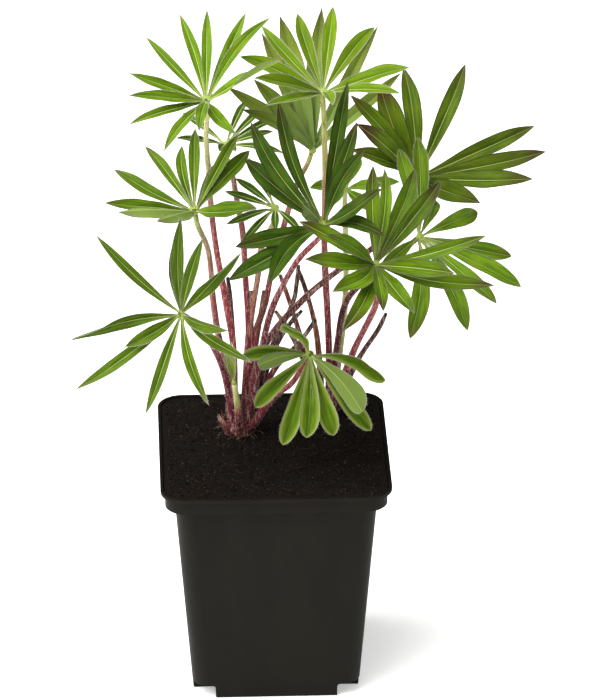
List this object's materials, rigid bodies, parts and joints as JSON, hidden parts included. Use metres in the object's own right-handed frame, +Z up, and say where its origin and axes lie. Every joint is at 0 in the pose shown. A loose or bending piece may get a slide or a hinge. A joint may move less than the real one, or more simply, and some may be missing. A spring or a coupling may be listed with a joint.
{
  "type": "potted lupin plant",
  "caption": "Young lupin with palmate leaves on red stalks, in leaf and not in bloom, growing in a square black nursery pot of dark soil.",
  "frame": {"origin": "middle of the flat underside of the pot's foot", "axes": "+Z up from the pot's foot to the top of the leaves; -Y is the front, where the low front leaf hangs; +X is to the right seen from the front"},
  "size_m": [0.1867, 0.1387, 0.2673],
  "materials": {
    "pot": "satin",
    "soil": "matte",
    "stalk": "satin",
    "leaf_lime": "satin",
    "leaf_green": "satin",
    "leaf_dark": "satin",
    "leaf_olive": "satin",
    "leaf_light": "satin",
    "leaf_pale": "satin"
  },
  "bodies": {
    "root": {"pot": "pot", "soil": "soil", "shoot_left": "stalk", "shoot_right": "stalk", "leaf_top_left": "leaf_green", "leaf_top_middle": "leaf_lime", "leaf_back": "leaf_olive", "leaf_left": "leaf_green", "leaf_low_left": "leaf_green", "leaf_middle": "leaf_dark", "leaf_right": "leaf_olive", "leaf_front_right": "leaf_green", "leaf_right_behind": "leaf_light", "leaf_small_back_left": "leaf_dark", "leaf_small_middle": "leaf_dark", "leaf_low_front": "leaf_light", "leaf_small_back_right": "leaf_light", "leaf_young": "leaf_pale"}
  },
  "joints": []
}
